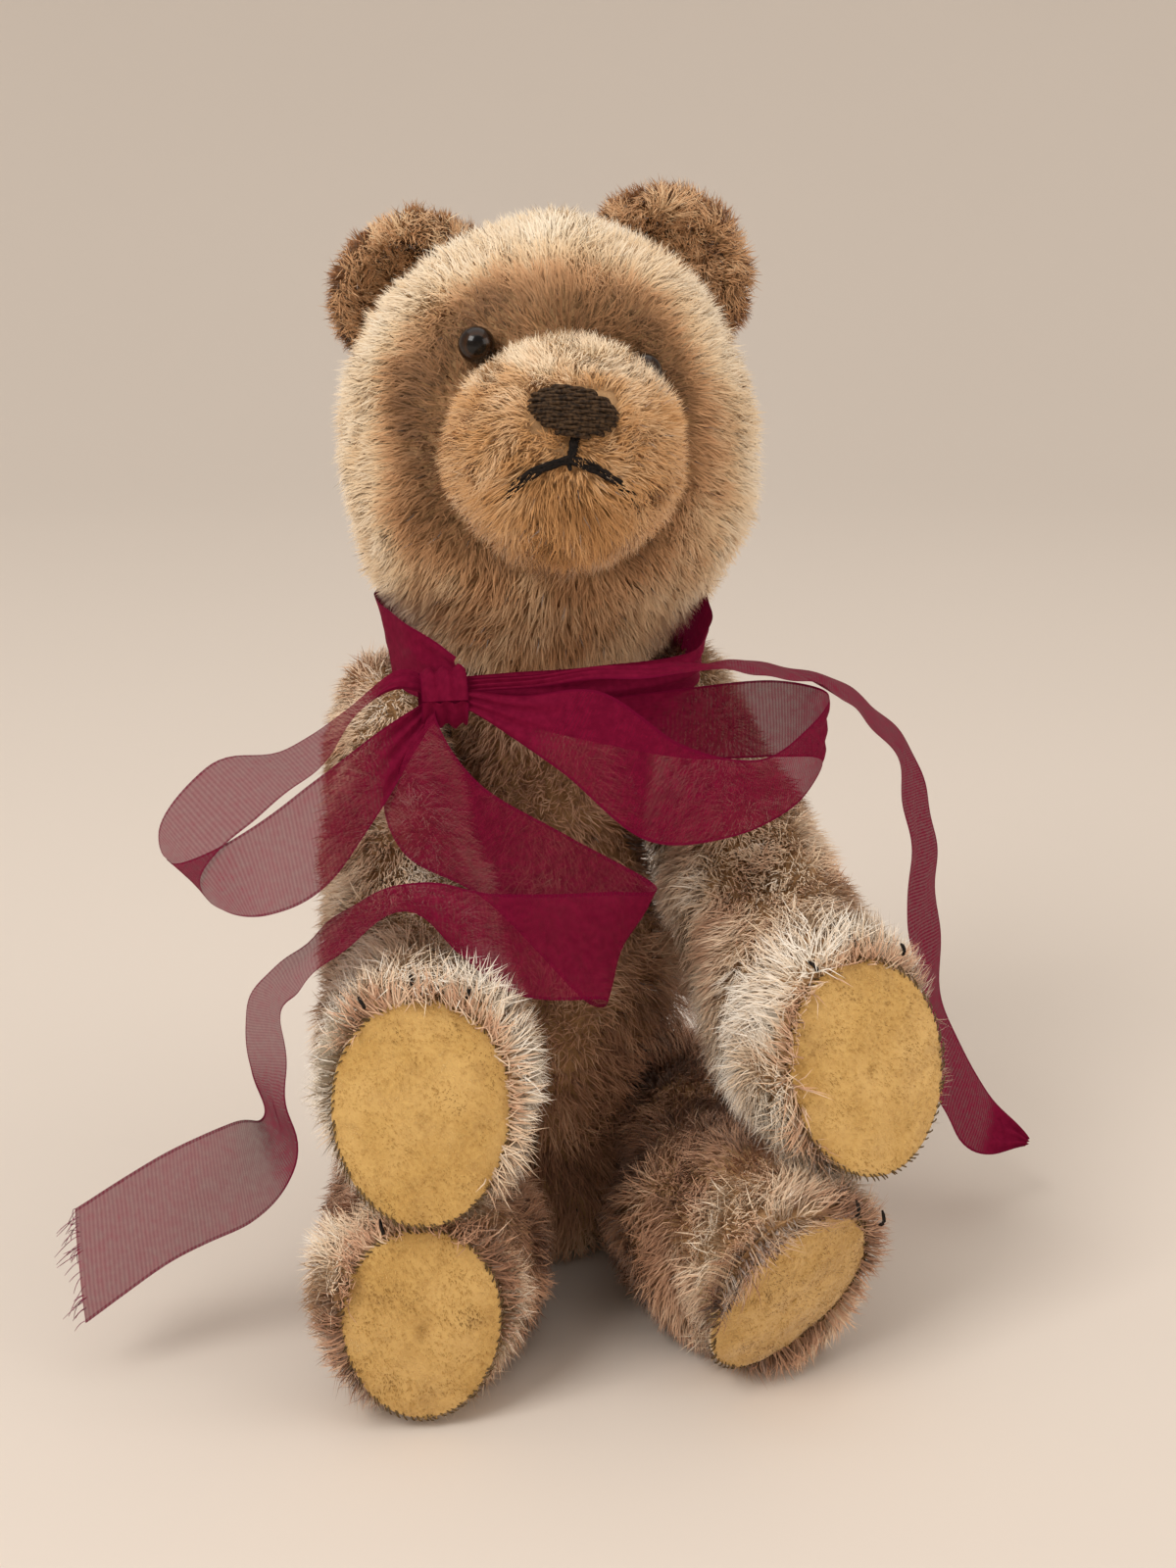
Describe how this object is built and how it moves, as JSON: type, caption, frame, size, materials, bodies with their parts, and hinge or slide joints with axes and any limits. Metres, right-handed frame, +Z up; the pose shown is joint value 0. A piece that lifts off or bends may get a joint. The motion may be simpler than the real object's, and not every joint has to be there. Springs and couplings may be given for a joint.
{
  "type": "threadbare jointed teddy bear",
  "caption": "Small old mohair teddy bear, sitting, with stuffed head, body and limbs on disc joints, felt paw pads, glass eyes and a tied sheer ribbon.",
  "frame": {"origin": "middle of the flat seat under the torso, on the plane it rests on", "axes": "+Z up through the head, -Y is the way the torso faces, +X is the bear's own left side"},
  "size_m": [0.1652, 0.1072, 0.1771],
  "materials": {
    "mohair": "worn woven mohair pile, cream at the tips and golden brown below, matted and thin in places",
    "muzzle_mohair": "short worn golden mohair pile",
    "ear_mohair": "matted brownish mohair pile",
    "wood_wool": "packed fine wood shavings",
    "felt": "golden ochre wool felt, rubbed and smudged brown",
    "hardboard": "pressed fibre board",
    "steel": "plain steel wire and plate",
    "glass": "brown glass with a black pupil",
    "nose_floss": "dark brown stranded cotton in satin stitch",
    "mouth_thread": "black cotton thread",
    "organza": "sheer burgundy organza with dense woven edges"
  },
  "bodies": {
    "torso": {"torso_cover": "mohair", "torso_stuffing": "wood_wool", "neck_torso_disc": "hardboard", "neck_torso_washer": "steel", "neck_cotter_pin": "steel", "left_shoulder_torso_disc": "hardboard", "left_shoulder_torso_washer": "steel", "left_shoulder_cotter_pin": "steel", "right_shoulder_torso_disc": "hardboard", "right_shoulder_torso_washer": "steel", "right_shoulder_cotter_pin": "steel", "left_hip_torso_disc": "hardboard", "left_hip_torso_washer": "steel", "left_hip_cotter_pin": "steel", "right_hip_torso_disc": "hardboard", "right_hip_torso_washer": "steel", "right_hip_cotter_pin": "steel", "neck_ribbon": "organza"},
    "head": {"head_cover": "mohair", "muzzle_cover": "muzzle_mohair", "head_stuffing": "wood_wool", "left_ear": "ear_mohair", "right_ear": "ear_mohair", "left_eye": "glass", "right_eye": "glass", "nose_stitching": "nose_floss", "mouth_stitching": "mouth_thread", "neck_head_disc": "hardboard", "neck_head_washer": "steel"},
    "left_arm": {"left_arm_cover": "mohair", "left_arm_stuffing": "wood_wool", "left_paw_pad": "felt", "left_shoulder_limb_disc": "hardboard", "left_shoulder_limb_washer": "steel"},
    "left_leg": {"left_leg_cover": "mohair", "left_leg_stuffing": "wood_wool", "left_foot_pad": "felt", "left_hip_limb_disc": "hardboard", "left_hip_limb_washer": "steel"},
    "right_arm": {"right_arm_cover": "mohair", "right_arm_stuffing": "wood_wool", "right_paw_pad": "felt", "right_shoulder_limb_disc": "hardboard", "right_shoulder_limb_washer": "steel"},
    "right_leg": {"right_leg_cover": "mohair", "right_leg_stuffing": "wood_wool", "right_foot_pad": "felt", "right_hip_limb_disc": "hardboard", "right_hip_limb_washer": "steel"}
  },
  "joints": [
    {"name": "neck", "type": "hinge", "parent": "torso", "child": "head", "pos_m": [0, 0.013, 0.101], "axis": [0.0698, 0, 0.9976], "continuous": true, "deforming": ["neck_ribbon"]},
    {"name": "left_shoulder", "type": "hinge", "parent": "torso", "child": "left_arm", "pos_m": [0.017, 0.012, 0.088], "axis": [-0.9781, -0.2079, 0], "range_deg": [-3, 45], "deforming": ["neck_ribbon"]},
    {"name": "right_shoulder", "type": "hinge", "parent": "torso", "child": "right_arm", "pos_m": [-0.017, 0.012, 0.088], "axis": [-1, 0, 0], "range_deg": [0, 60], "deforming": ["neck_ribbon"]},
    {"name": "left_hip", "type": "hinge", "parent": "torso", "child": "left_leg", "pos_m": [0.0115, 0.003, 0.018], "axis": [1, 0, 0], "range_deg": [0, 110]},
    {"name": "right_hip", "type": "hinge", "parent": "torso", "child": "right_leg", "pos_m": [-0.0115, 0.003, 0.018], "axis": [1, 0, 0], "range_deg": [0, 110]}
  ]
}
